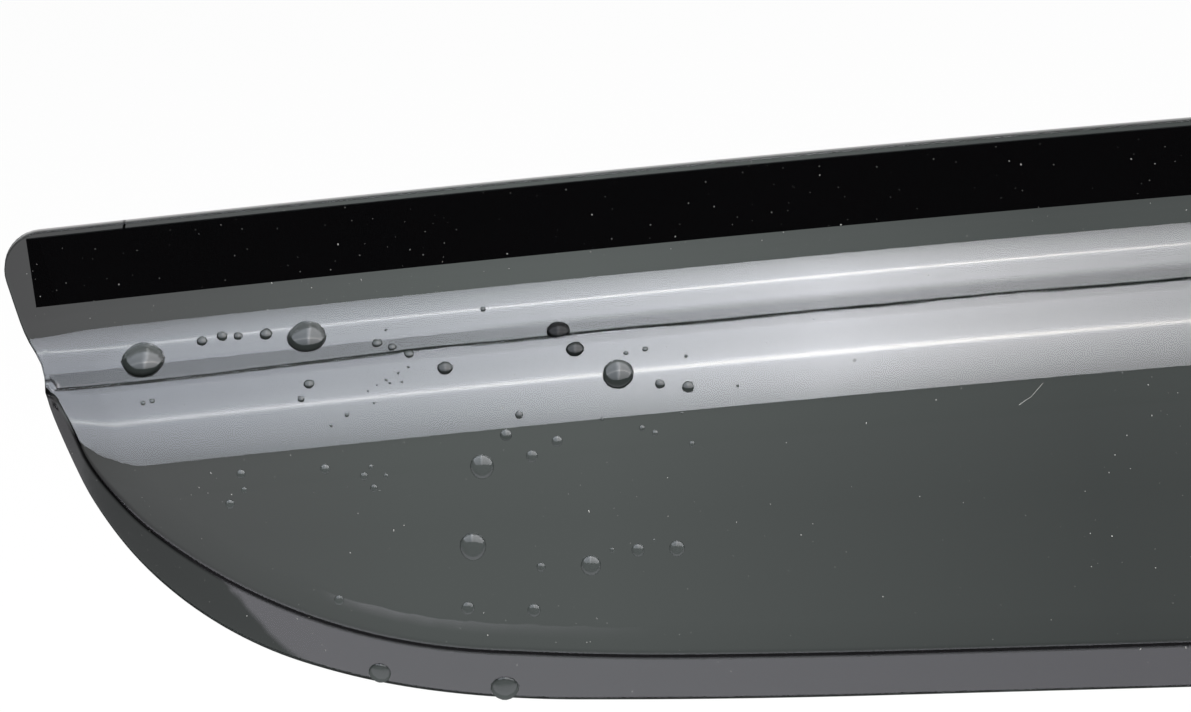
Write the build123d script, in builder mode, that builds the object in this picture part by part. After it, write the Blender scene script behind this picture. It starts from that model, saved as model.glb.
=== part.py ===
from build123d import *
import math
import os

# Window rain deflector in mm. X runs along the door, Y points at the door, Z is up.
# The origin is the middle of the sticking face of the foam tape.

# Whole visor.
LENGTH = 690.0            # from end to end, along the door
ARCH_RADIUS = 6000.0      # gentle arch of the top edge, seen from the front
WALL = 2.5                # thickness of the acrylic

# Foam tape on the back of the flange.
TAPE_WIDTH = 10.0
TAPE_THICK = 0.8
TAPE_MARGIN = 1.05        # from the top edge of the flange down to the tape
TAPE_INSET = 3.0          # from the end of the visor to the end of the tape
TAPE_END_ANGLE = 82.0     # slant of the cut end, from the horizontal

# Section from the top edge down, on the outer skin.
FLANGE_HEIGHT = 11.3      # flat part that carries the tape
COVE_RADIUS = 9.0         # hollow bend out of the flange
LEDGE_ANGLE = 62.0        # lean of the ledge from the upright
LEDGE_WIDTH = 3.4         # flat of the ledge, down the slope
BROW_RADIUS = 19.0        # round bend from the ledge into the panel
PANEL_ANGLE = 4.0         # lean of the panel from the upright

# Crease line where the panel turns into the lip, drawn in front of the flange.
# Its angles are the slopes of the leaning end and of the joints between its bends.
CREASE_DEPTH = 19.0
CREASE_INSET = 41.8       # from the end of the visor to the centre of the first bend
CREASE_DROP = 13.9        # from the top of the end down to that centre
CREASE_ANGLES = (79.0, 45.0, 6.0, 2.0)
CREASE_RADII = (33.0, 77.0, 800.0)

# Lip below the crease.
LIP_ANGLE = 30.0          # lean under the panel along the bottom, from the upright
LIP_START = 20.2          # from the top of the end down to where it starts

# Outer border of the whole visor, seen from the front.
BORDER_INSET = 81.7
BORDER_DROP = -5.5
BORDER_ANGLES = (75.2, 55.5, 19.5, 2.4)
BORDER_RADII = (82.0, 49.5, 130.0)
CORNER_RADIUS = 5.0       # round at both ends of the top edge

# Sizes that follow from the ones above.
half = LENGTH / 2
top = TAPE_MARGIN + TAPE_WIDTH / 2
face = -TAPE_THICK - WALL
arch_centre = top - ARCH_RADIUS
end_top = arch_centre + math.sqrt(ARCH_RADIUS**2 - half**2)
arch_half_angle = math.degrees(math.asin(half / ARCH_RADIUS)) * 1.1
reach = LENGTH / 4


def slope(angle):
    """Direction that runs to the right and down at an angle from the horizontal."""
    return Vector(math.cos(math.radians(angle)), -math.sin(math.radians(angle)))


def border_face(inset, drop, angles, radii):
    """Face above a border: a leaning end, three bends, and one long arc to the middle."""
    centre = Vector(-half + inset, end_top - drop)
    foot = centre - slope(angles[0]).rotate(Axis.Z, 90) * radii[0]
    with BuildSketch() as border:
        with BuildLine():
            end = Line(foot - slope(angles[0]) * reach, foot)
            bend = JernArc(end @ 1, end % 1, radii[0], angles[0] - angles[1])
            sweep = JernArc(bend @ 1, bend % 1, radii[1], angles[1] - angles[2])
            run = JernArc(sweep @ 1, sweep % 1, radii[2], angles[2] - angles[3])
            long_radius = -(run @ 1).X / math.sin(math.radians(angles[3]))
            JernArc(run @ 1, run % 1, long_radius, angles[3])
            Line(end @ 0, (0, (end @ 0).Y))
            mirror(about=Plane.YZ)
        make_face()
    return border.sketch


def step_block(inset):
    """Everything behind the stepped skin, swung along the arch; inset moves the skin inwards."""
    lean = math.radians(arch_half_angle)
    start = Plane((0, 0, arch_centre), x_dir=(0, 1, 0), z_dir=(math.cos(lean), 0, math.sin(lean)))
    with BuildPart() as block:
        with BuildSketch(start):
            with BuildLine():
                flange = Line((face + inset, ARCH_RADIUS + WALL), (face + inset, ARCH_RADIUS - FLANGE_HEIGHT))
                cove = JernArc(flange @ 1, flange % 1, COVE_RADIUS + inset, -LEDGE_ANGLE)
                ledge = Line(cove @ 1, cove @ 1 + (cove % 1) * LEDGE_WIDTH)
                brow = JernArc(ledge @ 1, ledge % 1, BROW_RADIUS - inset, LEDGE_ANGLE - PANEL_ANGLE)
                panel = Line(brow @ 1, brow @ 1 + (brow % 1) * reach)
                back = Line(panel @ 1, (-TAPE_THICK + inset, (panel @ 1).Y))
                Polyline(back @ 1, (-TAPE_THICK + inset, ARCH_RADIUS + WALL), flange @ 0)
            make_face()
        revolve(axis=Axis((0, 0, arch_centre), (0, 1, 0)), revolution_arc=2 * arch_half_angle)
    return block.part


# The lip is drawn straight down and back from the crease outline, so it is steep at the
# ends and leans by LIP_ANGLE along the bottom.
lip_lean = math.radians(LIP_ANGLE)
draw = (0, math.sin(lip_lean), -math.cos(lip_lean))
draw_length = 4 * CREASE_DEPTH


def lip_block(drop, radii):
    """Everything inside the skin of the lip; above the ends of the crease it cuts nothing."""
    with BuildPart() as block:
        with BuildSketch(Plane.XZ.offset(CREASE_DEPTH - face)):
            add(border_face(CREASE_INSET, drop, CREASE_ANGLES, radii))
        extrude(amount=draw_length, dir=draw, both=True)
        with Locations((0, 0, end_top - LIP_START)):
            Box(2 * LENGTH, 2 * draw_length, reach, align=(Align.CENTER, Align.CENTER, Align.MIN))
    return block.part


inside_radii = [radius - WALL for radius in CREASE_RADII]
inside_drop = CREASE_DROP - WALL / math.sin(lip_lean) + WALL

with BuildPart() as visor_shell:
    add(step_block(0))
    add(lip_block(CREASE_DROP, CREASE_RADII), mode=Mode.INTERSECT)
    with BuildSketch(Plane.XZ) as front:
        add(border_face(BORDER_INSET, BORDER_DROP, BORDER_ANGLES, BORDER_RADII))
        with Locations((0, arch_centre)):
            Circle(ARCH_RADIUS, mode=Mode.INTERSECT)
        fillet(front.vertices().sort_by(Axis.Y)[-2:], CORNER_RADIUS)
    extrude(amount=draw_length, both=True, mode=Mode.INTERSECT)
    with BuildPart(mode=Mode.SUBTRACT):
        add(step_block(WALL))
        add(lip_block(inside_drop, inside_radii), mode=Mode.INTERSECT)
visor_shell.part.label = "visor_shell"

with BuildPart() as foam_tape:
    with BuildSketch(Plane.XZ):
        with BuildLine():
            tape_end = Vector(-half + TAPE_INSET, end_top)
            cut = Line(tape_end - slope(TAPE_END_ANGLE) * reach, tape_end + slope(TAPE_END_ANGLE) * reach)
            Line(cut @ 0, (0, (cut @ 0).Y))
            Line(cut @ 1, (0, (cut @ 1).Y))
            mirror(about=Plane.YZ)
        make_face()
        with Locations((0, arch_centre)):
            Circle(ARCH_RADIUS - TAPE_MARGIN, mode=Mode.INTERSECT)
            Circle(ARCH_RADIUS - TAPE_MARGIN - TAPE_WIDTH, mode=Mode.SUBTRACT)
    extrude(amount=TAPE_THICK)
foam_tape.part.label = "foam_tape"

os.makedirs("parts", exist_ok=True)
export_step(visor_shell.part, "parts/visor_shell.step")
export_step(foam_tape.part, "parts/foam_tape.step")
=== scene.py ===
import math

import bpy
import numpy as np
from mathutils import Matrix, Vector
from mathutils.bvhtree import BVHTree
from mathutils.geometry import delaunay_2d_cdt
from mathutils.kdtree import KDTree


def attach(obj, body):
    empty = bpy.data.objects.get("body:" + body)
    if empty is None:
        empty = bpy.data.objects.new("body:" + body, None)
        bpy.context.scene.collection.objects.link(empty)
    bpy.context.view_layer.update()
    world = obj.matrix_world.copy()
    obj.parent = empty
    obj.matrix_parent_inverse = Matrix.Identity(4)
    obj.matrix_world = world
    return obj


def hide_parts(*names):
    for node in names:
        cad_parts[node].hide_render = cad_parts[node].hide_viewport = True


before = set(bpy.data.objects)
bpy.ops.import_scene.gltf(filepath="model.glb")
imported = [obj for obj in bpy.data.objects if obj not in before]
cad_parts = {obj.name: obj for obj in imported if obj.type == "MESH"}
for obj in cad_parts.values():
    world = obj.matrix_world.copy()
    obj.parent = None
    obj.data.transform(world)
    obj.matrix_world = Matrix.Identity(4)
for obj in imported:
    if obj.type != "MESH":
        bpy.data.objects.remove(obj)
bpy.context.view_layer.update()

# Visor shell: one sheet of smoked acrylic, 2.5 mm thick and polished, pressed to shape over a tool.  It has
# a flat flange for the tape, a cove, a flat ledge, a rounded brow, a plain panel, and a lip turned under
# along a sharp crease.  The trimmed edge is polished to a small round.
MM = 0.001
LENGTH = 690.0                # sizes are in mm
ARCH_RADIUS = 6000.0          # of the top edge, seen from the front
WALL = 2.5
TAPE_THICK = 0.8
TOP = 6.05                    # top edge at mid length, above the tape's centre line
BORDER = dict(inset=81.7, drop=-5.53, angles=(75.2, 55.5, 19.5, 2.4), radii=(82.0, 49.5, 130.0),
              sags=((-245.0, 0.3, 30.0), (-299.0, 0.3, 15.0)))
CREASE = dict(inset=41.8, drop=13.9, angles=(79.0, 45.0, 6.0, 2.0), radii=(33.0, 77.0, 800.0),
              sags=((-262.0, 0.25, 16.0),))
END_RUN = 90.0                # the straight end of both lines is drawn well past the top edge
END_STEPS = 60
BEND_STEP = 1.5               # between points along their bends
CREASE_DEPTH = 19.0
LIP_ANGLE = 30.0
LIP_START = 22.2              # from the top of the end down to where the lip starts
LIP_RELEASE = 4.0             # how steeply the lip's skin moves out of the way above that
CORNER_RADIUS = 5.5
TOP_STEPS = 232
CORNER_STEPS = 12
CORNER_GAP = 0.7              # from the round corner down to the next point
WAIST_DEPTH = 1.2             # hollow in the end beside the ledge
WAIST_DROP = 19.0
WAIST_REACH = 3.2
END_CURL = 8.0                # how far in from each end the sheet starts to roll back

half = LENGTH / 2
face = -TAPE_THICK - WALL
arch_centre = TOP - ARCH_RADIUS
end_top = arch_centre + math.sqrt(ARCH_RADIUS ** 2 - half ** 2)


def border_line(inset, drop, angles, radii, sags):
    """Left half of a lower border in the front view, from its straight end down to mid length.  A sag is the
    X at which the line hangs lower, by how much, and over what reach."""
    turns = [math.radians(angle) for angle in angles] + [0.0]
    centre = np.array((-half + inset, end_top - drop))
    spot = centre - radii[0] * np.array((math.sin(turns[0]), math.cos(turns[0])))
    uphill = np.array((-math.cos(turns[0]), math.sin(turns[0])))
    points = [spot + np.linspace(END_RUN, 0.0, END_STEPS + 1)[:, None] * uphill]
    for i in range(len(angles)):
        radius = radii[i] if i < len(radii) else -spot[0] / math.sin(turns[i])
        hub = spot + radius * np.array((math.sin(turns[i]), math.cos(turns[i])))
        count = 2 + int(radius * (turns[i] - turns[i + 1]) / BEND_STEP)
        steps = np.linspace(turns[i], turns[i + 1], count)[1:]
        points.append(hub - radius * np.stack((np.sin(steps), np.cos(steps)), 1))
        spot = points[-1][-1]
    points = np.concatenate(points)
    for x, sag, reach in sags:
        points[:, 1] -= sag * np.exp(-((points[:, 0] - x) / reach) ** 2)
    return points


def drop_at(points):
    """How far points of the front view lie below the top edge."""
    return ARCH_RADIUS - np.hypot(points[:, 0], points[:, 1] - arch_centre)


def hung(swing, drop):
    """The point of the front view at a swing round the arch and a drop below the top edge."""
    return (ARCH_RADIUS - drop) * math.sin(swing), arch_centre + (ARCH_RADIUS - drop) * math.cos(swing)


def finder(points):
    """A search tree for the nearest of some points of the front view."""
    tree = KDTree(len(points))
    for i, spot in enumerate(points):
        tree.insert((*spot, 0.0), i)
    tree.balance()
    return tree


# The trimmed outline, anticlockwise from the middle of the top edge.
lower = border_line(**BORDER)
foot = lower[END_STEPS]
end_angle = math.radians(BORDER["angles"][0])
inward = np.array((math.sin(end_angle), math.cos(end_angle)))
upward = np.array((-math.cos(end_angle), math.sin(end_angle)))
start = foot + CORNER_RADIUS * inward - np.array((0.0, arch_centre))
turn = start @ upward
climb = -turn + math.sqrt(turn ** 2 - start @ start + (ARCH_RADIUS - CORNER_RADIUS) ** 2)
corner = foot + CORNER_RADIUS * inward + climb * upward
corner_from = math.atan2(corner[1] - arch_centre, corner[0])
corner_to = math.atan2(-inward[1], -inward[0]) % math.tau
sweep = np.linspace(math.pi / 2, corner_from, TOP_STEPS)
upper = np.stack((ARCH_RADIUS * np.cos(sweep), arch_centre + ARCH_RADIUS * np.sin(sweep)), 1)
sweep = np.linspace(corner_from, corner_to, CORNER_STEPS)[1:]
round_off = corner + CORNER_RADIUS * np.stack((np.cos(sweep), np.sin(sweep)), 1)
side = lower[lower[:, 1] < round_off[-1, 1] - CORNER_GAP]
hollow = WAIST_DEPTH * np.exp(-((drop_at(side) - WAIST_DROP) / WAIST_REACH) ** 2)
side = side + hollow[:, None] * inward
left = np.concatenate((upper, round_off, side))
outline = np.concatenate((left, left[-2:0:-1] * (-1, 1)))
travel = np.roll(outline, -1, 0) - np.roll(outline, 1, 0)
travel /= np.linalg.norm(travel, axis=1)[:, None]
outline_inward = np.stack((-travel[:, 1], travel[:, 0]), 1)
outline_finder = finder(outline)


def measures(points):
    """Drop below the top edge, depth of the lip's skin, gap to the outline and roll of the end, in metres,
    at points of the front view."""
    x, z = points.T
    crease_z = np.interp(-np.abs(x), *border_line(**CREASE).T)
    lip = CREASE_DEPTH + (z - crease_z) * math.tan(math.radians(LIP_ANGLE))
    lip += LIP_RELEASE * np.maximum(z - (end_top - LIP_START), 0.0)
    gap = np.empty(len(points))
    for i, spot in enumerate(points):
        j = outline_finder.find((*spot, 0.0))[1]
        reaches = []
        for a, b in ((outline[j - 1], outline[j]), (outline[j], outline[(j + 1) % len(outline)])):
            share = np.clip((spot - a) @ (b - a) / ((b - a) @ (b - a)), 0, 1)
            reaches.append(np.linalg.norm(spot - a - share * (b - a)))
        gap[i] = min(reaches)
    roll = np.maximum(END_CURL - (np.stack((-np.abs(x), z), 1) - foot) @ inward, 0.0)
    return drop_at(points) * MM, lip * MM, gap * MM, roll * MM


def add(tree, kind, inputs=(), **settings):
    """Adds a node with its settings, and sets or links those of its inputs that are in use, in turn or by
    name.  Returns its first output in use."""
    node = tree.nodes.new(kind)
    for key, value in settings.items():
        setattr(node, key, value)
    sockets = [socket for socket in node.inputs if socket.enabled]
    if isinstance(inputs, dict):
        names = [socket.name for socket in sockets]
        sockets = [sockets[names.index(key)] for key in inputs]
        inputs = inputs.values()
    for socket, value in zip(sockets, inputs):
        if isinstance(value, bpy.types.NodeSocket):
            tree.links.new(value, socket)
        else:
            socket.default_value = value
    return next((socket for socket in node.outputs if socket.enabled), node)


def calc(tree, operation, *inputs):
    """What a Math node makes of its inputs."""
    return add(tree, "ShaderNodeMath", inputs, operation=operation)


def product(tree, value, *others):
    """Values multiplied together, in turn."""
    for other in others:
        value = calc(tree, "MULTIPLY", value, other)
    return value


def ramp(tree, value, start, stop, first, last, blend="LINEAR"):
    """A value that goes from first to last while another goes from start to stop."""
    return add(tree, "ShaderNodeMapRange", (value, start, stop, first, last), interpolation_type=blend)


def axes(tree, vector):
    """The X, Y and Z of a vector, by name."""
    return add(tree, "ShaderNodeSeparateXYZ", (vector,)).node.outputs


def linear(text):
    """An sRGB colour written as hex, as the linear colour that a shader takes."""
    values = [int(text[i:i + 2], 16) / 255 for i in (1, 3, 5)]
    return (*(v / 12.92 if v <= 0.04045 else ((v + 0.055) / 1.055) ** 2.4 for v in values), 1.0)


def new_material(name):
    """A material with an empty node tree, and that tree."""
    material = bpy.data.materials.new(name)
    material.use_nodes = True
    material.node_tree.nodes.clear()
    return material, material.node_tree


# Smoked acrylic, polished: the tint is in the depth of the sheet, so a single wall lets about a tenth of the
# light through and slanting walls look darker.  The skin is a clear, hard mirror with a faint handling haze.
# Thin black lines of painted shade mark the crease, the trimmed edge and the riser, and the ledge mirrors
# less.
MIX, NOISE, SMOOTH = "ShaderNodeMix", "ShaderNodeTexNoise", "SMOOTHSTEP"
HAZE_PATCH = 35.0             # width of the haze's clouds
WAVE = 16.0                   # length of the slow waves in the pressed skin
WAVE_HEIGHT = 0.04
LINE_PATCH = 22.0             # lengths over which the riser's line comes and goes
LEDGE_MIRROR = 0.53           # what is left of the mirror on the ledge
LINE_MIRROR = 0.1             # and on the black lines
smoked, tree = new_material("smoked_acrylic_polished")
spot = add(tree, "ShaderNodeTexCoord").node.outputs["Object"]
haze = add(tree, NOISE, {"Vector": spot, "Scale": 1 / (HAZE_PATCH * MM), "Detail": 4.0, "Roughness": 0.6})
haze = ramp(tree, haze, 0.35, 0.75, 0.0, 0.02)
sway = add(tree, NOISE, {"Vector": spot, "Scale": 1 / (WAVE * MM), "Detail": 1.0})
relief = add(tree, "ShaderNodeBump", {"Strength": 0.03, "Distance": WAVE_HEIGHT * MM, "Height": sway})
seam, drop, gap, roll, inside, riser = (
    add(tree, "ShaderNodeAttribute", attribute_name=name).node.outputs["Fac"]
    for name in ("seam", "drop", "gap", "roll", "inside", "riser"))
# The painted shade along the crease runs from a hair above it to a little below, and fades in below the
# ledge.
over = ramp(tree, seam, 0.05 * MM, 0.16 * MM, 1.0, 0.0, SMOOTH)
under = ramp(tree, seam, -0.9 * MM, -0.3 * MM, 0.0, 1.0, SMOOTH)
grow = ramp(tree, drop, 24.0 * MM, 26.5 * MM, 0.0, 1.0)
painted_crease_shade = product(tree, over, under, grow)
# The painted shade line along the trimmed edge.
painted_edge_shade = ramp(tree, gap, 0.04 * MM, 0.26 * MM, 0.9, 0.0)
line = calc(tree, "MAXIMUM", painted_crease_shade, painted_edge_shade)
# The painted shade line up the riser is uneven along its length and thins out towards the ends.
across = axes(tree, spot)["X"]
wide = calc(tree, "ABSOLUTE", across)
uneven = add(tree, NOISE, {"W": across, "Scale": 1 / (LINE_PATCH * MM), "Detail": 1.0}, noise_dimensions="1D")
uneven = ramp(tree, uneven, 0.4, 0.65, 0.0, 0.35)
thin = ramp(tree, wide, 272 * MM, 300 * MM, 0.0, 0.58)
thin = calc(tree, "MAXIMUM", thin, uneven)
thin = calc(tree, "ADD", thin, riser)
step = ramp(tree, riser, 0.02, 0.2, 0.0, 0.85)
done = ramp(tree, thin, 0.8, 0.98, 1.0, 0.0)
step = calc(tree, "MULTIPLY", step, done)
line = calc(tree, "MAXIMUM", line, step)
outer = ramp(tree, inside, 0.0, 1.0, 1.0, 0.0)
line = calc(tree, "MULTIPLY", line, outer)
# The base colour goes near black under these lines of painted shade.
tone = add(tree, MIX, (line, linear("#FFFFFF"), linear("#0A0A0A")), data_type="RGBA")
# The duller ledge has a crisp upper edge near the ends and a soft one between, and stops at the riser, at the
# brow and short of the very end.
crisp = ramp(tree, drop, 19.3 * MM, 19.4 * MM, 0.0, 1.0, SMOOTH)
soft = ramp(tree, drop, 18.6 * MM, 19.9 * MM, 0.0, 1.0, SMOOTH)
near_end = ramp(tree, wide, 272 * MM, 284 * MM, 0.0, 1.0)
dull = add(tree, MIX, (near_end, soft, crisp))
for attribute, full, none, blend in ((riser, 0.0, 0.5, "LINEAR"), (drop, 20.6 * MM, 22.0 * MM, "LINEAR"),
                                     (roll, 5.9 * MM, 6.2 * MM, SMOOTH)):
    part = ramp(tree, attribute, full, none, 1.0, 0.0, blend)
    dull = calc(tree, "MULTIPLY", dull, part)
mirror = ramp(tree, dull, 0.0, 1.0, 1.0, LEDGE_MIRROR)
bare = ramp(tree, line, 0.0, 1.0, 1.0, LINE_MIRROR)
mirror = calc(tree, "MULTIPLY", mirror, bare)
# Light goes almost straight through the sheet, and its clear coat has acrylic's own index of 1.49.
skin = add(tree, "ShaderNodeBsdfPrincipled", {
    "Base Color": tone, "Roughness": haze, "IOR": 1.05, "Transmission Weight": 1.0, "Normal": relief,
    "Coat Weight": mirror, "Coat Roughness": 0.004, "Coat IOR": 1.49, "Coat Normal": relief})
depth = add(tree, "ShaderNodeVolumeAbsorption", {"Color": (0.0, 0.042, 0.030, 1.0), "Density": 956.0})
add(tree, "ShaderNodeOutputMaterial", {"Surface": skin, "Volume": depth})


def new_rule(name, takes, sizes, gives):
    """A Geometry Nodes tree with only its sockets: what it takes, its sizes and what it gives."""
    tree = bpy.data.node_groups.new(name, "GeometryNodeTree")
    tree.interface.new_socket(takes, in_out="INPUT", socket_type="NodeSocketGeometry")
    for key, value in sizes.items():
        tree.interface.new_socket(key, in_out="INPUT", socket_type="NodeSocketFloat").default_value = value
    tree.interface.new_socket(gives, in_out="OUTPUT", socket_type="NodeSocketGeometry")
    return tree


def stored(tree, name, kind="FLOAT"):
    """A value that each point of a mesh carries under a name."""
    return add(tree, "GeometryNodeInputNamedAttribute", (name,), data_type=kind)


def arc(tree, radius, off):
    """How far out an arc of a radius stands at a distance off its centre."""
    square = calc(tree, "MULTIPLY", radius, radius)
    off = calc(tree, "MULTIPLY", off, off)
    square = calc(tree, "SUBTRACT", square, off)
    return calc(tree, "SQRT", square)


# The rule that presses a flat blank to shape.  Each vertex carries its drop below the top edge, and the tree
# takes the section's depth there from the parts that the drop runs through, one after the other.
FLANGE_HEIGHT = 11.3
COVE_RADIUS = 9.0
LEDGE_ANGLE = math.radians(56)
LEDGE_WIDTH = 3.4
RISER_RUN = 0.22
BROW_ANGLE = math.radians(62)
BROW_RADIUS = 19.0
COVE_END = (330.0, 342.0)     # the cove starts lower between these distances from mid length
RISER_END = (288.0, 318.0)    # and so does the riser between these
SWAY_LENGTH = 40.0            # waves of the riser
BLANK_VALUES = ("drop", "lip", "gap", "roll", "inside", "seam", "steep")
brow_drop = FLANGE_HEIGHT + COVE_RADIUS * math.sin(BROW_ANGLE) + LEDGE_WIDTH * math.cos(BROW_ANGLE)
brow_depth = COVE_RADIUS * (1 - math.cos(BROW_ANGLE)) + LEDGE_WIDTH * math.sin(BROW_ANGLE)
ledge_drop = FLANGE_HEIGHT + COVE_RADIUS * math.sin(LEDGE_ANGLE)
ledge_run = brow_drop - RISER_RUN - ledge_drop
riser_rise = brow_depth - COVE_RADIUS * (1 - math.cos(LEDGE_ANGLE)) - ledge_run * math.tan(LEDGE_ANGLE)
visor_sizes = {
    "Flange Height": FLANGE_HEIGHT * MM, "Cove Radius": COVE_RADIUS * MM, "Ledge Angle": LEDGE_ANGLE,
    "Ledge Run": ledge_run * MM, "Riser Run": RISER_RUN * MM, "Riser Rise": riser_rise * MM,
    "Riser Sway": 0.65 * MM, "End Drop": 0.36 * MM, "End Cove": 1.3 * MM,
    "Inner Ledge Run": LEDGE_WIDTH * math.cos(BROW_ANGLE) * MM,
    "Brow Angle": BROW_ANGLE, "Brow Radius": BROW_RADIUS * MM, "Panel Angle": math.radians(4),
    "Wall": WALL * MM, "Lip Wall": 2.62 * MM, "End Lip Wall": 3.3 * MM, "End Bend": 0.011 / MM,
    "Shoulder Reach": 5.0 * MM, "Shoulder Bend": 0.015 / MM, "End Shoulder Bend": 0.036 / MM,
    "Crease Round": 0.25 * MM, "Edge Round": 0.12 * MM, "Face": face * MM}
press = new_rule("press_visor", "Blank", visor_sizes, "Visor")
entry = add(press, "NodeGroupInput").node.outputs
drop, lip, gap, roll, inside, seam, steep = (stored(press, name) for name in BLANK_VALUES)
place = add(press, "GeometryNodeInputPosition")
across = axes(press, place)["X"]
wide = calc(press, "ABSOLUTE", across)
inset = calc(press, "MULTIPLY", inside, entry["Wall"])
outside = calc(press, "SUBTRACT", 1.0, inside)
angle = add(press, MIX, (inside, entry["Ledge Angle"], entry["Brow Angle"]))
ledge_sin = calc(press, "SINE", angle)
brow_sin = calc(press, "SINE", entry["Brow Angle"])
brow_cos = calc(press, "COSINE", entry["Brow Angle"])
# The cove is an arc.  Of the drop below the flange, it takes its own height and leaves the rest.
cove = calc(press, "ADD", entry["Cove Radius"], inset)
rest = calc(press, "SUBTRACT", drop, entry["Flange Height"])
rest = calc(press, "MAXIMUM", rest, 0.0)
span = calc(press, "MULTIPLY", cove, ledge_sin)
into = calc(press, "MINIMUM", rest, span)
rest = calc(press, "SUBTRACT", rest, into)
late = ramp(press, wide, COVE_END[0] * MM, COVE_END[1] * MM, 0.0, entry["End Cove"], SMOOTH)
into = ramp(press, into, late, span, 0.0, span)
depth = calc(press, "SUBTRACT", cove, arc(press, cove, into))
# The ledge is straight.  On the outer skin, the tool leaves a small wavy riser where it runs into the brow.
sway = add(press, NOISE, {"W": across, "Scale": 1 / (SWAY_LENGTH * MM), "Detail": 1.0}, noise_dimensions="1D")
sway = calc(press, "SUBTRACT", sway, 0.5)
sway = calc(press, "MULTIPLY", sway, entry["Riser Sway"])
lower_end = ramp(press, wide, RISER_END[0] * MM, RISER_END[1] * MM, 0.0, entry["End Drop"], SMOOTH)
sway = calc(press, "ADD", sway, lower_end)
sway = calc(press, "MULTIPLY", sway, outside)
span = add(press, MIX, (inside, entry["Ledge Run"], entry["Inner Ledge Run"]))
ends = calc(press, "ADD", span, sway)
into = calc(press, "MINIMUM", rest, ends)
slope = calc(press, "TANGENT", angle)
depth = calc(press, "MULTIPLY_ADD", into, slope, depth)
rise = calc(press, "SUBTRACT", rest, ends)
rise = ramp(press, rise, 0.0, entry["Riser Run"], 0.0, 1.0, SMOOTH)
riser = calc(press, "MULTIPLY", rise, outside)
high = calc(press, "MULTIPLY", sway, slope)
high = calc(press, "SUBTRACT", entry["Riser Rise"], high)
depth = calc(press, "MULTIPLY_ADD", riser, high, depth)
step = calc(press, "MULTIPLY_ADD", entry["Riser Run"], outside, span)
rest = calc(press, "SUBTRACT", rest, step)
rest = calc(press, "MAXIMUM", rest, 0.0)
# The brow is an arc that bends the other way.
brow = calc(press, "SUBTRACT", entry["Brow Radius"], inset)
panel_sin = calc(press, "SINE", entry["Panel Angle"])
span = calc(press, "SUBTRACT", brow_sin, panel_sin)
span = calc(press, "MULTIPLY", span, brow)
into = calc(press, "MINIMUM", rest, span)
rest = calc(press, "SUBTRACT", rest, into)
reach = calc(press, "MULTIPLY", brow, brow_sin)
reach = calc(press, "SUBTRACT", reach, into)
base = calc(press, "MULTIPLY", brow, brow_cos)
stands = calc(press, "SUBTRACT", arc(press, brow, reach), base)
depth = calc(press, "MULTIPLY_ADD", stands, rise, depth)
# The panel is straight and takes what is left of the drop.
slope = calc(press, "TANGENT", entry["Panel Angle"])
depth = calc(press, "MULTIPLY_ADD", rest, slope, depth)
depth = calc(press, "SUBTRACT", depth, inset)
# The sheet rolls back a little at each end.
bend = product(press, roll, roll, entry["End Bend"])
depth = calc(press, "SUBTRACT", depth, bend)
# The lip turns under along the crease, and its wall is thicker where the crease climbs at the ends.
climb = calc(press, "POWER", steep, 4.0)
thick = add(press, MIX, (climb, entry["Lip Wall"], entry["End Lip Wall"]))
thick = calc(press, "MULTIPLY", inside, thick)
under = calc(press, "SUBTRACT", lip, thick)
past = calc(press, "SUBTRACT", under, depth)
depth = calc(press, "SMOOTH_MIN", depth, under, entry["Crease Round"])
# A soft shoulder along the crease is firmer where the crease climbs.
near = calc(press, "MAXIMUM", seam, 0.0)
near = calc(press, "SUBTRACT", entry["Shoulder Reach"], near)
near = calc(press, "MAXIMUM", near, 0.0)
firm = add(press, MIX, (steep, entry["Shoulder Bend"], entry["End Shoulder Bend"]))
near = product(press, near, near, firm)
depth = calc(press, "SUBTRACT", depth, near)
# No part goes farther back than the flange.
back = calc(press, "MULTIPLY", inset, -1.0)
back = calc(press, "SUBTRACT", back, bend)
depth = calc(press, "MAXIMUM", depth, back)
# The polished edge is a small quarter round on both skins.
close = calc(press, "SUBTRACT", entry["Edge Round"], gap)
close = calc(press, "MAXIMUM", close, 0.0)
stands = arc(press, entry["Edge Round"], close)
cut = calc(press, "SUBTRACT", entry["Edge Round"], stands)
sign = calc(press, "MULTIPLY_ADD", inside, 2.0, -1.0)
depth = calc(press, "MULTIPLY_ADD", cut, sign, depth)
height = calc(press, "SUBTRACT", entry["Face"], depth)
move = add(press, "ShaderNodeCombineXYZ", (0.0, height, 0.0))
shaped = add(press, "GeometryNodeSetPosition", {"Geometry": entry["Blank"], "Offset": move})
for name, value in (("past", past), ("riser", riser)):
    shaped = add(press, "GeometryNodeStoreNamedAttribute", {"Geometry": shaped, "Name": name, "Value": value},
                 data_type="FLOAT", domain="POINT")
shaped = add(press, "GeometryNodeRealizeInstances", (shaped,))
shaped = add(press, "GeometryNodeSetMaterial", {"Geometry": shaped, "Material": smoked})
add(press, "NodeGroupOutput", (shaped,))


def placed(name, data):
    """A new object in the scene, at the origin."""
    piece = bpy.data.objects.new(name, data)
    bpy.context.scene.collection.objects.link(piece)
    return piece


def grown(name, mesh, tree, sizes):
    """What a Geometry Nodes tree makes of a mesh at these sizes, as an object with a plain, smooth mesh."""
    piece = placed(name, mesh)
    modifier = piece.modifiers.new(name, "NODES")
    modifier.node_group = tree
    for item in tree.interface.items_tree:
        if item.in_out == "INPUT" and item.name in sizes:
            modifier[item.identifier] = sizes[item.name]
    shaped = bpy.data.meshes.new_from_object(piece.evaluated_get(bpy.context.evaluated_depsgraph_get()))
    piece.modifiers.clear()
    piece.data = shaped
    shaped.shade_smooth()
    return piece


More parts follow.
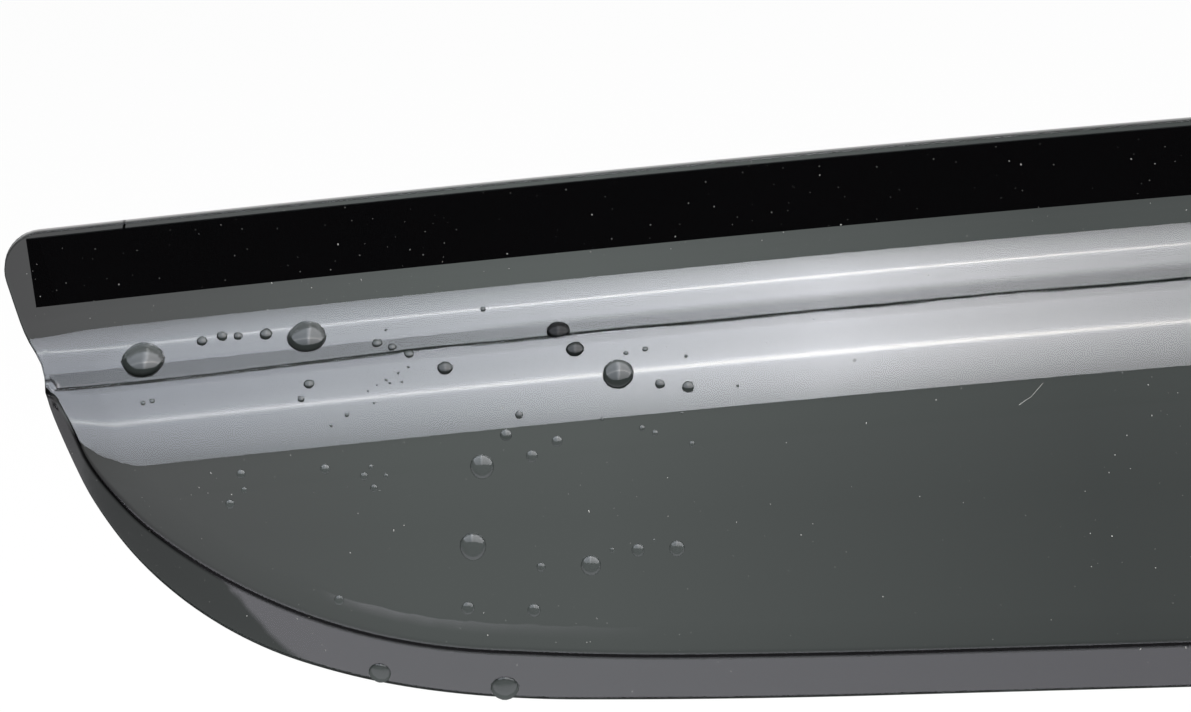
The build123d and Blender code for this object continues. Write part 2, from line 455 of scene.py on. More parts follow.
def pressed(name, points, faces, values):
    """A blank of points (front view, mm) and faces, with each point's values, pressed to shape."""
    mesh = bpy.data.meshes.new(name)
    mesh.from_pydata([(x * MM, 0.0, z * MM) for x, z in points], [], faces)
    for key, data in zip(BLANK_VALUES, values):
        mesh.attributes.new(key, "FLOAT", "POINT").data.foreach_set("value", np.asarray(data, np.float32))
    return grown(name, mesh, press, visor_sizes)


# Upright rows of trial points across the crease: from and to which X, and in what steps.
PROBE_COLUMNS = ((-344.4, -325.0, 0.1), (-325.0, -290.0, 0.5), (-290.0, 0.1, 2.5))
PROBE_REACH = (-34.0, 8.0)    # below and above the drawn line
PROBE_STEP = 0.25             # between the points of a row
CREASE_STEP = 1.2             # between points along the crease that is found


def crease_line(inside):
    """The line along which the panel meets the lip (front view, mm), found by pressing upright rows of trial
    points, and its directions along and upwards."""
    xs = np.concatenate([np.arange(*column) for column in PROBE_COLUMNS])
    chain = border_line(**CREASE)
    heights = np.interp(xs, *chain.T)
    offs = np.arange(*PROBE_REACH, PROBE_STEP)
    probe = np.array([(x, z + off) for x, z in zip(xs, heights) for off in offs])
    slope = np.arctan(np.interp(-np.abs(probe[:, 0]), chain[:, 0], np.gradient(chain[:, 1], chain[:, 0])))
    values = (*measures(probe), np.full(len(probe), inside), np.ones(len(probe)), np.abs(np.sin(slope)))
    net = pressed("crease_probe", probe, [], values)
    past = np.empty(len(probe), np.float32)
    net.data.attributes["past"].data.foreach_get("value", past)
    bpy.data.objects.remove(net)
    line = []
    for x, z, row in zip(xs, heights, past.reshape(len(xs), -1)):
        crossings = np.nonzero((row[:-1] < 0) & (row[1:] >= 0))[0]
        if len(crossings):
            i = crossings[-1]
            line.append((x, z + offs[i] - PROBE_STEP * row[i] / (row[i + 1] - row[i])))
    line = np.array(line)
    line = line[line[:, 1] < end_top - LIP_START]
    reach = np.concatenate(((0.0,), np.cumsum(np.linalg.norm(np.diff(line, axis=0), axis=1))))
    even = np.linspace(0.0, reach[-1], int(reach[-1] / CREASE_STEP))
    line = np.stack((np.interp(even, reach, line[:, 0]), np.interp(even, reach, line[:, 1])), 1)
    line = np.concatenate((line, line[-2::-1] * (-1, 1)))
    along = np.gradient(line, axis=0)
    along /= np.linalg.norm(along, axis=1)[:, None]
    return line, along, np.stack((-along[:, 1], along[:, 0]), 1)


def from_crease(points, line, along, above):
    """How far points lie above the crease (below it: negative), in metres, and how steeply it runs there."""
    crease_finder = finder(line)
    seam, steep = np.ones(len(points)), np.zeros(len(points))
    for i, spot in enumerate(points):
        j, far = crease_finder.find((*spot, 0.0))[1:]
        run = (spot - line[j]) @ along[j]
        beyond = (j == 0 and run < 0) or (j == len(line) - 1 and run > 0)
        seam[i] = (far if beyond else (spot - line[j]) @ above[j]) * MM
        steep[i] = abs(above[j][0])
    return seam, steep


def within(path):
    """True where a point of the front view lies inside the outline."""
    path = np.asarray(path)
    hit = np.zeros(len(path), bool)
    for (ax, az), (bx, bz) in zip(outline, np.roll(outline, -1, 0)):
        cross = (az > path[:, 1]) != (bz > path[:, 1])
        hit ^= cross & (path[:, 0] < ax + (path[:, 1] - az) / (bz - az + 1e-12) * (bx - ax))
    return hit


EDGE_ROWS = (0.0, 0.015, 0.05, 0.12, 0.5, 1.0)          # lines of the net along the trimmed edge
CREASE_ROWS = (-1.0, -0.5, -0.22, -0.08, 0.0, 0.08, 0.22, 0.5, 1.0, 1.8, 2.8, 4.0)      # along the crease
EDGE_CLEARANCE = 0.4          # crease lines keep this far from the edge
FAR_ROW = 0.6                 # lines farther than this above the crease
FAR_ROW_DROP = 22.0           # stay this far below the top edge, out of the brow's close rows
LINE_CLEARANCE = 0.22         # and the grid's points keep this far from every line
# Rows of the grid down the flange, the cove, the ledge, the riser, the brow and the panel: from and to what
# drop, and in what steps on the outer and on the inner skin.
GRID_ROWS = ((1.3, 11.2, 1.4, 1.4), (11.3, 19.3, 0.26, 0.52), (19.5, 20.3, 0.2, 0.4),
             (20.35, 21.55, 0.05, 0.45), (21.7, 36.4, 0.3, 0.6), (36.8, 92.0, 2.0, 2.0))
# Its columns at the left end, and between the ends on the outer and on the inner skin: from, to and step.
END_COLUMNS = ((-344.8, -320.0, 0.7), (-320.0, -290.0, 1.5))
MIDDLE_COLUMNS = ((-290.0, 290.1, 2.5), (-290.0, 290.1, 5.0))
MERGE = 1e-5                  # points closer than this become one
SLIVER = 0.02                 # twice the area of a triangle too thin to keep at the edge
NO_AREA = 1e-6                # and anywhere


def skin_blank(line, above, inside):
    """A triangle net over the outline, with lines along the edge and the crease, as (points, faces, rim).
    The inner skin gets a coarser one."""
    points, edges = [], []

    def draw(path, closed):
        first = len(points)
        points.extend(map(tuple, path))
        edges.extend((first + i, first + i + 1) for i in range(len(path) - 1))
        if closed:
            edges.append((first + len(path) - 1, first))

    for off in EDGE_ROWS:
        draw(outline + off * outline_inward, True)
    for off in CREASE_ROWS:
        path = line + off * above
        keep = within(path) & np.array([outline_finder.find((*p, 0.0))[2] > EDGE_CLEARANCE for p in path])
        if off > FAR_ROW:
            keep &= drop_at(path) > FAR_ROW_DROP
        draw(path[keep], False)
    ends = np.array(points)[np.array(edges)]
    dense = (ends[:, :1] + np.linspace(0, 1, 8)[:, None] * (ends[:, 1:] - ends[:, :1])).reshape(-1, 2)
    line_finder = finder(dense)
    skin = int(inside)
    rows = np.concatenate([np.arange(start, stop, steps[skin]) for start, stop, *steps in GRID_ROWS])
    swing = np.concatenate([np.arange(*column) for column in END_COLUMNS])
    swing = np.concatenate((swing, np.arange(*MIDDLE_COLUMNS[skin]), -swing)) / ARCH_RADIUS
    stagger = np.gradient(rows) / 2     # every other column half a row lower, so that the triangles are alike
    grid = np.array([hung(turn, drop) for i, turn in enumerate(swing) for drop in rows + i % 2 * stagger])
    grid = grid[within(grid)]
    points.extend(tuple(p) for p in grid if line_finder.find((*p, 0.0))[2] > LINE_CLEARANCE)
    count = len(outline)
    out = delaunay_2d_cdt([Vector(p) for p in points], edges, [list(range(count))], 1, MERGE, True)
    found = {source: i for i, sources in enumerate(out[3]) for source in sources if source < count}
    net = np.array([tuple(p) for p in out[0]])
    tris = np.array([tuple(f) for f in out[2]])
    # Slivers, and triangles that three points of the edge span outside it, are left out.
    a, b, c = net[tris].transpose(1, 0, 2)
    area = (b[:, 0] - a[:, 0]) * (c[:, 1] - a[:, 1]) - (c[:, 0] - a[:, 0]) * (b[:, 1] - a[:, 1])
    edge = np.zeros(len(net), bool)
    edge[list(found.values())] = True
    spare = edge[tris].all(1)
    spare[spare] = (area[spare] < SLIVER) | ~within(net[tris[spare]].mean(1))
    tris = tris[(area > NO_AREA) & ~spare]
    return net, tris.tolist(), [found[i] for i in range(count)]


crease = crease_line(0.0)
front, front_faces, front_rim = skin_blank(crease[0], crease[2], 0.0)
hidden = crease_line(1.0)
back, back_faces, back_rim = skin_blank(hidden[0], hidden[2], 1.0)
shift = len(front)
faces = list(front_faces) + [tuple(shift + i for i in reversed(f)) for f in back_faces]
for i, (f, b) in enumerate(zip(front_rim, back_rim)):
    j = (i + 1) % len(front_rim)
    faces.append((f, shift + b, shift + back_rim[j], front_rim[j]))
net = np.concatenate((front, back))
values = (*measures(net), np.repeat((0.0, 1.0), (len(front), len(back))), *from_crease(net, *crease))
visor = pressed("visor", net, faces, values)
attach(visor, "root")
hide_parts("visor_shell")

# Foam tape: black acrylic foam tape, bonded along the back of the flange and cut off at a slant at each end.
# It is what sticks the visor to the door frame.
TAPE_WIDTH = 9.75
TAPE_MARGIN = 1.3             # from the top edge of the flange down to the tape
TAPE_FRONT = 0.75             # the foam stops just short of the acrylic
TAPE_ENDS = (341.85, 341.0)   # half the length of its upper and its lower edge
TAPE_STATIONS = 241
THREAD = ((-328.45, 1.6), (-328.05, 1.6), (-327.75, 0.15), (-328.1, 0.15))      # X and drop of its corners
THREAD_DEPTHS = (0.74, 0.3)
FOAM_CELL = 0.25

# Foam, matte: a soft dull black with a fine open grain.
foam, tree = new_material("black_foam_matte")
spot = add(tree, "ShaderNodeTexCoord").node.outputs["Object"]
cells = add(tree, "ShaderNodeTexVoronoi", {"Vector": spot, "Scale": 1 / (FOAM_CELL * MM)})
relief = add(tree, "ShaderNodeBump", {"Strength": 0.5, "Distance": 0.1 * MM, "Height": cells})
tone = add(tree, MIX, (cells, linear("#060606"), linear("#141414")), data_type="RGBA")
skin = add(tree, "ShaderNodeBsdfPrincipled", {"Base Color": tone, "Roughness": 0.9, "Normal": relief})
add(tree, "ShaderNodeOutputMaterial", {"Surface": skin})


def solid(name, verts, faces, material):
    """A new object from points in metres and faces, in one material."""
    mesh = bpy.data.meshes.new(name)
    mesh.from_pydata(verts, [], faces)
    mesh.materials.append(material)
    return placed(name, mesh)


verts, quads = [], []
for share in np.linspace(-1.0, 1.0, TAPE_STATIONS):
    for drop, reach in zip((TAPE_MARGIN, TAPE_MARGIN + TAPE_WIDTH), TAPE_ENDS):
        x, z = hung(math.asin(share * reach / (ARCH_RADIUS - drop)), drop)
        verts += [(x * MM, -depth * MM, z * MM) for depth in (TAPE_FRONT, 0.0)]
for i in range(TAPE_STATIONS - 1):
    a, b = 4 * i, 4 * i + 4
    quads += [(a, a + 2, b + 2, b), (a + 1, b + 1, b + 3, a + 3)]
    quads += [(a, b, b + 1, a + 1), (a + 2, a + 3, b + 3, b + 2)]
quads += [(0, 1, 3, 2), (b, b + 2, b + 3, b + 1)]
# A thread of the tape stands up past its top edge at one place.
first = len(verts)
for x, drop in THREAD:
    z = arch_centre + math.sqrt((ARCH_RADIUS - drop) ** 2 - x ** 2)
    verts += [(x * MM, -depth * MM, z * MM) for depth in THREAD_DEPTHS]
for quad in ((0, 2, 4, 6), (7, 5, 3, 1), (0, 1, 3, 2), (2, 3, 5, 4), (4, 5, 7, 6), (6, 7, 1, 0)):
    quads.append([first + k for k in quad])
tape = solid("tape", verts, quads, foam)
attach(tape, "root")
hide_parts("foam_tape")

# Camera: the photograph's, square on to the visor's left end, 12 degrees above it and rolled a little, from
# far enough away to give its flat, long-lens perspective.
SCALE = 7.19 / MM             # photograph pixels per metre at the flange
PHOTO_WIDTH = 1191
PHOTO_CENTRE = (595.5, 356)
MARK = (600, 170.6)           # pixel of a mark near the top edge
MARK_X = -261.5               # the mark's own X
MARK_RISE = 0.5               # and its height above the top edge
ELEVATION = math.radians(12.0)
ROLL = math.radians(3.127)
DISTANCE = 2.5
SENSOR = 36.0
ahead = Vector((0.0, math.cos(ELEVATION), -math.sin(ELEVATION)))
level = Vector((0.0, math.sin(ELEVATION), math.cos(ELEVATION)))
right = Vector((1, 0, 0)) * math.cos(ROLL) - level * math.sin(ROLL)
up = Vector((1, 0, 0)) * math.sin(ROLL) + level * math.cos(ROLL)
mark = Vector((MARK_X, face, arch_centre + math.sqrt(ARCH_RADIUS ** 2 - MARK_X ** 2) + MARK_RISE)) * MM
aim = mark + right * (PHOTO_CENTRE[0] - MARK[0]) / SCALE + up * (MARK[1] - PHOTO_CENTRE[1]) / SCALE
eye = bpy.data.cameras.new("camera")
eye.sensor_width = SENSOR
eye.lens = SENSOR * DISTANCE / (PHOTO_WIDTH / SCALE)
eye.clip_end = 100.0
camera = placed("camera", eye)
turn = Matrix((right, up, -ahead)).transposed().to_4x4()
camera.matrix_world = Matrix.Translation(aim - ahead * DISTANCE) @ turn
bpy.context.scene.camera = camera

# Water drops: rain left standing on the outer skin, each a low dome that hangs a little downhill.  The list
# gives each drop's place and width in the photograph, in pixels, and it is set on the skin where the camera
# sees that place.
DROPS = (
    (143, 360, 45), (202, 341, 11), (222, 336, 11), (238, 336, 9), (266, 334, 13), (307, 337, 40),
    (377, 343, 11), (392, 347, 9), (409, 354, 10), (445, 368, 16), (483, 309, 6), (558, 331, 24),
    (575, 349, 19), (618, 374, 32), (309, 384, 11), (301, 399, 7), (347, 415, 5), (331, 426, 3),
    (386, 330, 3), (408, 367, 3), (398, 373, 3), (386, 380, 3), (390, 383, 3), (402, 382, 3),
    (377, 385, 2), (368, 391, 2), (374, 403, 2), (626, 353, 5), (645, 349, 6), (686, 356, 4),
    (660, 384, 10), (688, 387, 12), (738, 386, 3), (519, 415, 8), (143, 403, 5), (152, 401, 5),
    (506, 435, 12), (482, 466, 24), (532, 456, 12), (557, 441, 11), (602, 419, 4), (642, 428, 6),
    (655, 433, 6), (692, 444, 6), (682, 413, 3), (241, 474, 9), (244, 490, 6), (230, 504, 9),
    (325, 469, 10), (364, 476, 8), (371, 467, 5), (374, 488, 8), (386, 476, 5), (473, 546, 27),
    (541, 567, 9), (591, 565, 20), (612, 550, 5), (638, 550, 13), (654, 540, 3), (677, 548, 16),
    (339, 600, 10), (468, 608, 13), (534, 610, 13), (380, 672, 23), (505, 687, 28))
# Painted shade: these drops are made darker than the others.
PAINTED_DARK_DROPS = {(558, 331): 0.9, (575, 349): 0.6, (445, 368): 0.3}      # drops that look darker than the others
skin_points = [vertex.co for vertex in visor.data.vertices]
skin_tree = BVHTree.FromPolygons(skin_points, [polygon.vertices for polygon in visor.data.polygons])


def on_skin(across, down):
    """The point of the outer skin, and the way it faces, behind a pixel of the photograph."""
    target = aim + right * (across - PHOTO_CENTRE[0]) / SCALE - up * (down - PHOTO_CENTRE[1]) / SCALE
    origin = aim - ahead * DISTANCE
    return skin_tree.ray_cast(origin, (target - origin).normalized())[:2]


# Water on smoked acrylic: a drop takes the mirror off the sheet under it, and has a weaker mirror of its own
# on the dome.  The dome is opaque and its colour is painted light and shade: the dark sheet as seen through
# the water, a little lighter towards the crown.  Where the skin faces up, it is painted darker, most of all
# round its rim, with a lighter top and its own tone underneath.  A few drops are painted darker still.
water, tree = new_material("water_on_smoked_acrylic")
dome, lean = (add(tree, "ShaderNodeAttribute", attribute_name=name).node.outputs["Vector"]
              for name in ("dome", "facing"))
rise = axes(tree, dome)["Z"]
rise = ramp(tree, rise, 0.0, 0.2, 0.0, 1.0)
lean = axes(tree, lean)["Z"]
lean = ramp(tree, lean, 0.2, 0.5, 0.0, 1.0)
# Where the skin faces up: painted light on the top of the dome, a painted tone underneath and painted shade
# round the rim.
tilt = add(tree, "ShaderNodeNewGeometry").node.outputs["Normal"]
tilt = axes(tree, tilt)["Z"]
high = ramp(tree, tilt, 0.55, 0.95, 0.0, 1.0, SMOOTH)
painted_underside_tone = ramp(tree, tilt, 0.3, -0.4, 0.0, 1.0, SMOOTH)
rim = ramp(tree, rise, 0.0, 1.0, 0.85, 0.0)
high, painted_underside_tone, rim = (calc(tree, "MULTIPLY", part, lean) for part in (high, painted_underside_tone, rim))
# Painted shade that makes a few drops darker, with less mirror.
painted_drop_shade = add(tree, "ShaderNodeAttribute", attribute_name="painted_drop_shade").node.outputs["Fac"]
tone = add(tree, MIX, (rise, linear("#4A4F4E"), linear("#595E5D")), data_type="RGBA")
for part, shade in ((lean, "#3A3F3E"), (high, "#525756"), (painted_underside_tone, "#424746"), (rim, "#121414"),
                    (painted_drop_shade, "#0C0D0E")):
    tone = add(tree, MIX, (part, tone, linear(shade)), data_type="RGBA")
gleam = ramp(tree, painted_drop_shade, 0.0, 1.0, 0.5, 0.1)
skin = add(tree, "ShaderNodeBsdfPrincipled", {
    "Base Color": tone, "Roughness": 0.01, "IOR": 1.33, "Specular IOR Level": gleam})
add(tree, "ShaderNodeOutputMaterial", {"Surface": skin})

# The rule that stands a flattened ball on each place, half of it sunk in the sheet.
drop_sizes = {"Squash": 0.46, "Sag": 0.4, "Unevenness": 0.06, "Ripple": 2.5 * MM}
stand = new_rule("stand_drops", "Places", drop_sizes, "Drops")
entry = add(stand, "NodeGroupInput").node.outputs
width = stored(stand, "width")
facing = stored(stand, "facing", "FLOAT_VECTOR")
place = add(stand, "GeometryNodeInputPosition")
ball = add(stand, "GeometryNodeMeshUVSphere", {"Segments": 16, "Rings": 8, "Radius": 0.5})
ball = add(stand, "GeometryNodeStoreNamedAttribute", {"Geometry": ball, "Name": "dome", "Value": place},
           data_type="FLOAT_VECTOR", domain="POINT")
tall = calc(stand, "MULTIPLY", width, entry["Squash"])
size = add(stand, "ShaderNodeCombineXYZ", (width, width, tall))
turn = add(stand, "FunctionNodeAlignRotationToVector", {"Vector": facing}, axis="Z")
made = add(stand, "GeometryNodeInstanceOnPoints",
           {"Points": entry["Places"], "Instance": ball, "Rotation": turn, "Scale": size})
made = add(stand, "GeometryNodeRealizeInstances", (made,))
# It hangs: the higher a point of the dome stands, the farther it slides downhill along the skin.
dome = stored(stand, "dome", "FLOAT_VECTOR")
rise = axes(stand, dome)["Z"]
rise = calc(stand, "MAXIMUM", rise, 0.0)
lean = axes(stand, facing)["Z"]
flat = ramp(stand, lean, 0.1, 0.5, 1.0, 0.25)
rise = product(stand, rise, entry["Sag"], width, flat)
hill = add(stand, "ShaderNodeVectorMath", (facing, lean), operation="SCALE")
hill = add(stand, "ShaderNodeVectorMath", (hill, (0.0, 0.0, 1.0)), operation="SUBTRACT")
hill = add(stand, "ShaderNodeVectorMath", (hill, rise), operation="SCALE")
made = add(stand, "GeometryNodeSetPosition", {"Geometry": made, "Offset": hill})
# And it is a little uneven all over.
pitch = calc(stand, "DIVIDE", 1.0, entry["Ripple"])
sway = add(stand, NOISE, {"Vector": place, "Scale": pitch, "Detail": 0.0})
sway = calc(stand, "SUBTRACT", sway, 0.5)
sway = product(stand, sway, entry["Unevenness"], width)
away = add(stand, "GeometryNodeInputNormal")
away = add(stand, "ShaderNodeVectorMath", (away, sway), operation="SCALE")
made = add(stand, "GeometryNodeSetPosition", {"Geometry": made, "Offset": away})
made = add(stand, "GeometryNodeSetMaterial", {"Geometry": made, "Material": water})
add(stand, "NodeGroupOutput", (made,))

seats = [on_skin(across, down) for across, down, wide in DROPS]
mesh = bpy.data.meshes.new("drop_places")
mesh.from_pydata([spot for spot, out in seats], [], [])
for name, kind in (("width", "FLOAT"), ("painted_drop_shade", "FLOAT"), ("facing", "FLOAT_VECTOR")):
    mesh.attributes.new(name, kind, "POINT")
mesh.attributes["width"].data.foreach_set("value", [wide / SCALE for across, down, wide in DROPS])
mesh.attributes["painted_drop_shade"].data.foreach_set("value", [PAINTED_DARK_DROPS.get(drop[:2], 0.0) for drop in DROPS])
mesh.attributes["facing"].data.foreach_set("vector", [part for spot, out in seats for part in out])
drops = grown("water_drops", mesh, stand, drop_sizes)
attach(drops, "root")

# Dust: pale specks and short bits of lint, dried on to the outer skin all over, in loose patches and more
# thickly over the flange.
GREY_PATCH = 4.0              # flakes this close together are alike

# Dust, matte: dry and nearly white, some flakes greyer than others.
pale, tree = new_material("pale_dust_matte")
spot = add(tree, "ShaderNodeTexCoord").node.outputs["Object"]
blot = add(tree, NOISE, {"Vector": spot, "Scale": 1 / (GREY_PATCH * MM)})
blot = ramp(tree, blot, 0.3, 0.7, 0.0, 1.0)
tone = add(tree, MIX, (blot, linear("#8E8E8B"), linear("#ECECE8")), data_type="RGBA")
skin = add(tree, "ShaderNodeBsdfPrincipled", {"Base Color": tone, "Roughness": 0.9})
add(tree, "ShaderNodeOutputMaterial", {"Surface": skin})

# The rule that settles flakes on the outer skin, clear of its edge.
dust_sizes = {"Per Square Metre": 46000.0, "Patch": 14.0 * MM,
              "Smallest": 0.055 * MM, "Spread": 0.16 * MM, "Lint": 2.2}
settle = new_rule("settle_dust", "Skin", dust_sizes, "Dust")
entry = add(settle, "NodeGroupInput").node.outputs
inside, gap, drop = (stored(settle, name) for name in ("inside", "gap", "drop"))
edge = ramp(settle, gap, 0.4 * MM, 0.5 * MM, 1.0, 0.0)
outer = calc(settle, "ADD", inside, edge)
outer = add(settle, "FunctionNodeCompare", (outer, 0.001), data_type="FLOAT", operation="LESS_THAN")
pitch = calc(settle, "DIVIDE", 1.0, entry["Patch"])
patch = add(settle, NOISE, {"Scale": pitch, "Detail": 1.0})
patch = ramp(settle, patch, 0.4, 0.7, 0.5, 2.4)
thick = ramp(settle, drop, 12.0 * MM, 30.0 * MM, 1.7, 0.7)
patch = product(settle, patch, thick, entry["Per Square Metre"])
fall = add(settle, "GeometryNodeDistributePointsOnFaces",
           {"Mesh": entry["Skin"], "Selection": outer, "Density": patch, "Seed": 7}).node.outputs
flake = add(settle, "GeometryNodeMeshIcoSphere", {"Radius": 0.5, "Subdivisions": 1})
chance = [add(settle, "FunctionNodeRandomValue", {"Min": 0.0, "Max": 1.0, "Seed": seed}, data_type="FLOAT")
          for seed in (1, 2, 3)]
# Most flakes are small, a few are long, and all lie flat.
size = calc(settle, "POWER", chance[0], 4.0)
size = calc(settle, "MULTIPLY_ADD", size, entry["Spread"], entry["Smallest"])
long = calc(settle, "POWER", chance[1], 5.0)
long = calc(settle, "MULTIPLY_ADD", long, entry["Lint"], 1.0)
long = calc(settle, "MULTIPLY", long, size)
thin = calc(settle, "MULTIPLY", size, 0.4)
scale = add(settle, "ShaderNodeCombineXYZ", (long, size, thin))
angle = calc(settle, "MULTIPLY", chance[2], math.tau)
spin = add(settle, "FunctionNodeAxisAngleToRotation", {"Axis": (0.0, 0.0, 1.0), "Angle": angle})
turn = add(settle, "FunctionNodeRotateRotation", (fall["Rotation"], spin), rotation_space="LOCAL")
made = add(settle, "GeometryNodeInstanceOnPoints",
           {"Points": fall["Points"], "Instance": flake, "Rotation": turn, "Scale": scale})
made = add(settle, "GeometryNodeRealizeInstances", (made,))
made = add(settle, "GeometryNodeSetMaterial", {"Geometry": made, "Material": pale})
add(settle, "NodeGroupOutput", (made,))
dust = grown("dust", visor.data.copy(), settle, dust_sizes)
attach(dust, "root")

# Fibre: one longer thread of lint that lies on the brow, in the dust's own colour.  Its places are pixels of
# the photograph, and it clings to the skin there.
FIBRE = ((1043, 383), (1037, 390), (1031, 397), (1026, 400), (1019, 405))
FIBRE_RADIUS = 0.024
FIBRE_LIFT = 0.02
FIBRE_SIDES = 4
verts, quads = [], []
path = [on_skin(across, down) for across, down in FIBRE]
for i, (spot, out) in enumerate(path):
    run = (path[min(i + 1, len(path) - 1)][0] - path[max(i - 1, 0)][0]).normalized()
    side = out.cross(run)
    for k in range(FIBRE_SIDES):
        turn = k * math.tau / FIBRE_SIDES
        swing = side * math.cos(turn) + out * math.sin(turn)
        verts.append(spot + (out * FIBRE_LIFT + swing * FIBRE_RADIUS) * MM)
for i in range(0, len(verts) - FIBRE_SIDES, FIBRE_SIDES):
    for k in range(FIBRE_SIDES):
        a, b = i + k, i + (k + 1) % FIBRE_SIDES
        quads.append((a, b, b + FIBRE_SIDES, a + FIBRE_SIDES))
quads += [tuple(reversed(range(FIBRE_SIDES))), tuple(range(len(verts) - FIBRE_SIDES, len(verts)))]
fibre = solid("fibre", verts, quads, pale)
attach(fibre, "root")

# Stage: a white table top below the visor, a long softbox overhead whose mirror image draws the bright bands
# on the cove and the brow, a plain soft lamp for everything that isn't a mirror, and pale surroundings.
FLOOR = -0.16
FLOOR_REACH = 8
TABLE_GLOW = 1.06             # just enough for white
TABLE_MATTE = 0.15            # share of the matte top, which takes the shadow
WHITE = (1.0, 1.0, 1.0, 1.0)
# The table top glows: plain white to the camera, with painted light and shade in what the visor mirrors and
# lets through.
table_top, tree = new_material("white_table")
ray = add(tree, "ShaderNodeLightPath").node.outputs
spot = add(tree, "ShaderNodeTexCoord").node.outputs["Object"]
place = axes(tree, spot)
# Seen in the visor's skin: a painted pool of light on the table close in front, the visor's own painted
# shadow below it, and dark farther out.
painted_pool_of_light = ramp(tree, place["Y"], -0.25, -0.12, 0.06, 1.7, SMOOTH)
painted_own_shadow = ramp(tree, place["Y"], -0.0405, -0.0388, 1.0, 0.05, SMOOTH)
painted_pool_of_light = calc(tree, "MULTIPLY", painted_pool_of_light, painted_own_shadow)
# And a painted strip of light still farther out, which the shoulder picks up above the crease.
painted_strip_of_light = ramp(tree, place["Y"], -0.69, -0.64, 0.0, 1.45, SMOOTH)
for axis, start, stop, first, last, blend in (("Y", -0.62, -0.38, 1.0, 0.0, "LINEAR"),
                                              ("X", -0.345, -0.325, 0.0, 1.0, SMOOTH),
                                              ("X", -0.32, -0.262, 1.0, 0.0, "LINEAR")):
    part = ramp(tree, place[axis], start, stop, first, last, blend)
    painted_strip_of_light = calc(tree, "MULTIPLY", painted_strip_of_light, part)
painted_pool_of_light = calc(tree, "ADD", painted_pool_of_light, painted_strip_of_light)
# Seen through the visor: painted light and shade, a little brighter far behind, falling off to the right, and
# duller at the left end.
far = ramp(tree, place["X"], -0.265, -0.18, 1.0, 0.66)
behind = ramp(tree, place["X"], -0.365, -0.2, 1.11, 1.33)
back = ramp(tree, place["Y"], 0.5, 0.68, 1.0, behind)
far = calc(tree, "MULTIPLY", far, back)
# Seen by the camera: plain white.
shade = add(tree, MIX, (ray["Is Glossy Ray"], TABLE_GLOW, painted_pool_of_light))
shade = add(tree, MIX, (ray["Is Transmission Ray"], shade, far))
# Painted tints: faintly violet in the visor's mirror images, and a dull warm tone through the visor at the
# left end.
tint = add(tree, MIX, (ray["Is Glossy Ray"], WHITE, (1.0, 0.94, 1.07, 1.0)), data_type="RGBA")
painted_left_end_tint = ramp(tree, place["X"], -0.375, -0.295, 1.0, 0.0)
warm = add(tree, MIX, (painted_left_end_tint, WHITE, (0.88, 0.79, 0.83, 1.0)), data_type="RGBA")
tint = add(tree, MIX, (ray["Is Transmission Ray"], tint, warm), data_type="RGBA")
light = add(tree, "ShaderNodeEmission", {"Color": tint, "Strength": shade})
matte = add(tree, "ShaderNodeBsdfDiffuse", {"Color": linear("#F4F4F4")})
seen = calc(tree, "MAXIMUM", ray["Is Glossy Ray"], ray["Is Transmission Ray"])
part = ramp(tree, seen, 0.0, 1.0, TABLE_MATTE, 0.0)
both = add(tree, "ShaderNodeMixShader", (part, light, matte))
add(tree, "ShaderNodeOutputMaterial", {"Surface": both})
corners = [(x * FLOOR_REACH, y * FLOOR_REACH, FLOOR) for x, y in ((-1, -1), (1, -1), (1, 1), (-1, 1))]
floor = solid("floor", corners, [range(len(corners))], table_top)


def banded(tree, value, start, stop, stops):
    """A colour that follows a value from start to stop through places and colours between them."""
    band = add(tree, "ShaderNodeValToRGB", (ramp(tree, value, start, stop, 0.0, 1.0),))
    elements = band.node.color_ramp.elements
    for i, (place, colour) in enumerate(stops):
        while len(elements) <= i:
            elements.new(1.0)
        elements[i].position = (place - start) / (stop - start)
        elements[i].color = (*colour, 1.0)
    return band


# The softbox's cloth: one bright stripe along it, slightly warm, and brighter over the middle of the view.
# The places are metres along Y and X, and the values are how bright the cloth is there.
HEIGHT = 0.8
STRIPE = ((-1.6, 6.4), (-1.25, 7.5), (-1.0, 8.7), (-0.75, 10), (-0.6, 10.8), (-0.46, 11.8), (-0.425, 12.8),
          (-0.4, 15), (-0.38, 20.5), (-0.362, 22.5), (-0.345, 20.5), (-0.318, 15.5), (-0.28, 13.4),
          (-0.22, 12.2), (-0.09, 11.2), (0.04, 10.8), (0.13, 10.6), (0.17, 8.8), (0.42, 6.2))
STRIPE_SPAN = (-1.6, 0.42)
STRIPE_TOP = 25.0
WARM_FROM = 13                # brighter than this, the cloth is warm
WARMTH = 0.06 / 7             # by so much for each step of brightness
LENGTHWISE = ((-0.42, 0.52), (-0.40, 0.6), (-0.35, 0.76), (-0.306, 1.0), (-0.275, 1.17), (-0.258, 1.32),
              (-0.242, 1.2), (-0.222, 1.06), (-0.19, 0.88), (-0.16, 0.8))
LENGTHWISE_SPAN = (-0.44, -0.14)
LENGTHWISE_TOP = 2.0
CLOTH = ((-1.35, 1.6), (2.0, 1.6), (2.0, -1.57), (-0.55, -1.57), (-0.85, -1.56), (-1.08, -1.5),
         (-1.22, -1.38), (-1.3, -1.2), (-1.35, -0.95))
glow, tree = new_material("softbox_cloth")
spot = add(tree, "ShaderNodeTexCoord").node.outputs["Object"]
place = axes(tree, spot)
stops = []
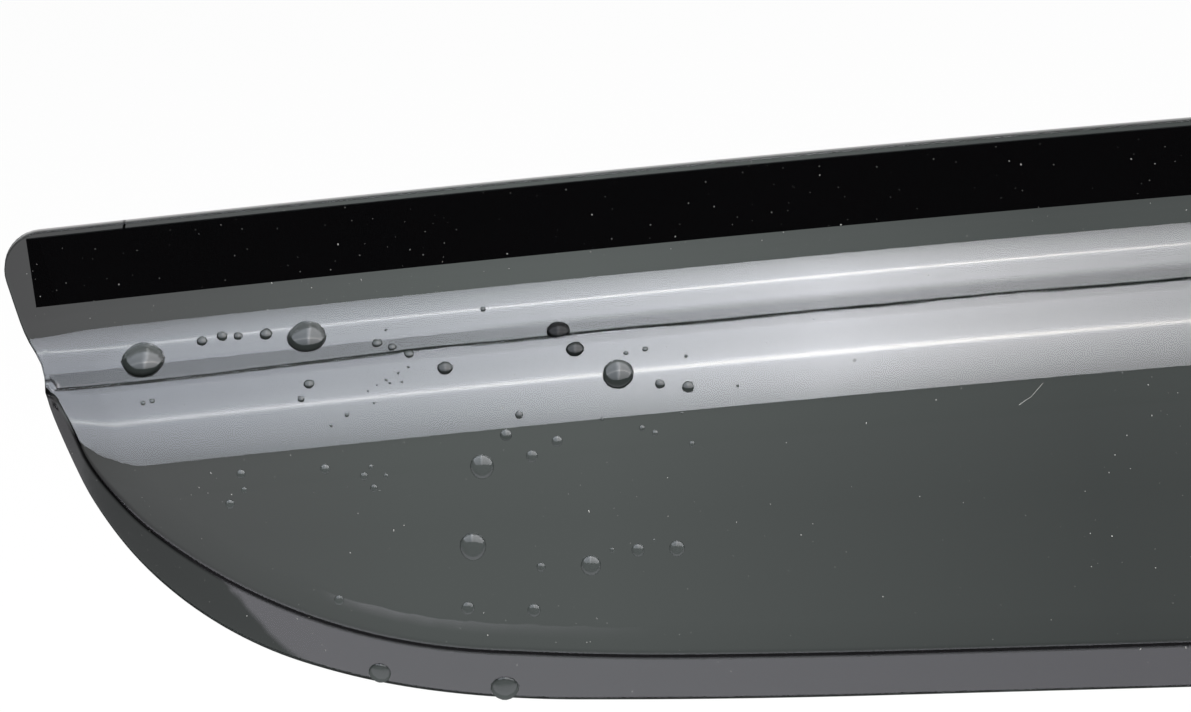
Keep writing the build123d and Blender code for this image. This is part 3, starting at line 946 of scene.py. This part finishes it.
for y, value in STRIPE:
    share = value / STRIPE_TOP
    warm = WARMTH * max(value - WARM_FROM, 0)
    stops.append((y, (share, share * (1 - warm / 3), share * (1 - warm))))
stripe = banded(tree, place["Y"], *STRIPE_SPAN, stops)
stops = [(x, (value / LENGTHWISE_TOP,) * 3) for x, value in LENGTHWISE]
power = banded(tree, place["X"], *LENGTHWISE_SPAN, stops)
power = calc(tree, "MULTIPLY", power, LENGTHWISE_TOP * STRIPE_TOP)
cool = ramp(tree, place["X"], -0.40, -0.22, 0.0, 1.0)
tint = add(tree, MIX, (cool, (0.88, 0.93, 1.04, 1.0), (0.905, 0.905, 0.945, 1.0)), data_type="RGBA")
tint = add(tree, MIX, (1.0, tint, stripe), data_type="RGBA", blend_type="MULTIPLY")
light = add(tree, "ShaderNodeEmission", {"Color": tint, "Strength": power})
add(tree, "ShaderNodeOutputMaterial", {"Surface": light})
softbox = solid("softbox", [(x, y, HEIGHT) for x, y in CLOTH], [range(len(CLOTH))], glow)
softbox.visible_camera = softbox.visible_shadow = False
softbox.visible_diffuse = softbox.visible_transmission = False

lamp_data = bpy.data.lights.new("plain_lamp", "AREA")
lamp_data.size = 1.5
lamp_data.energy = 16.0
lamp = placed("plain_lamp", lamp_data)
lamp.location = (-0.1, -0.3, 1.2)
lamp.visible_glossy = lamp.visible_transmission = False

# The surroundings: white to the camera and through the visor, dim as a light, and dark in a mirror
# except behind the visor.
world = bpy.data.worlds.new("surroundings")
world.use_nodes = True
tree = world.node_tree
tree.nodes.clear()
ray = add(tree, "ShaderNodeLightPath").node.outputs
seen = calc(tree, "MAXIMUM", ray["Is Camera Ray"], ray["Is Transmission Ray"])
spot = add(tree, "ShaderNodeTexCoord").node.outputs["Generated"]
place = axes(tree, spot)
mirrored = ramp(tree, place["Y"], 0.4, 0.9, 0.02, 0.6)
dim = add(tree, MIX, (ray["Is Glossy Ray"], 0.4, mirrored))
power = add(tree, MIX, (seen, dim, 1.0))
light = add(tree, "ShaderNodeBackground", {"Strength": power})
add(tree, "ShaderNodeOutputWorld", (light,))
bpy.context.scene.world = world
bpy.context.scene.view_settings.view_transform = "Standard"
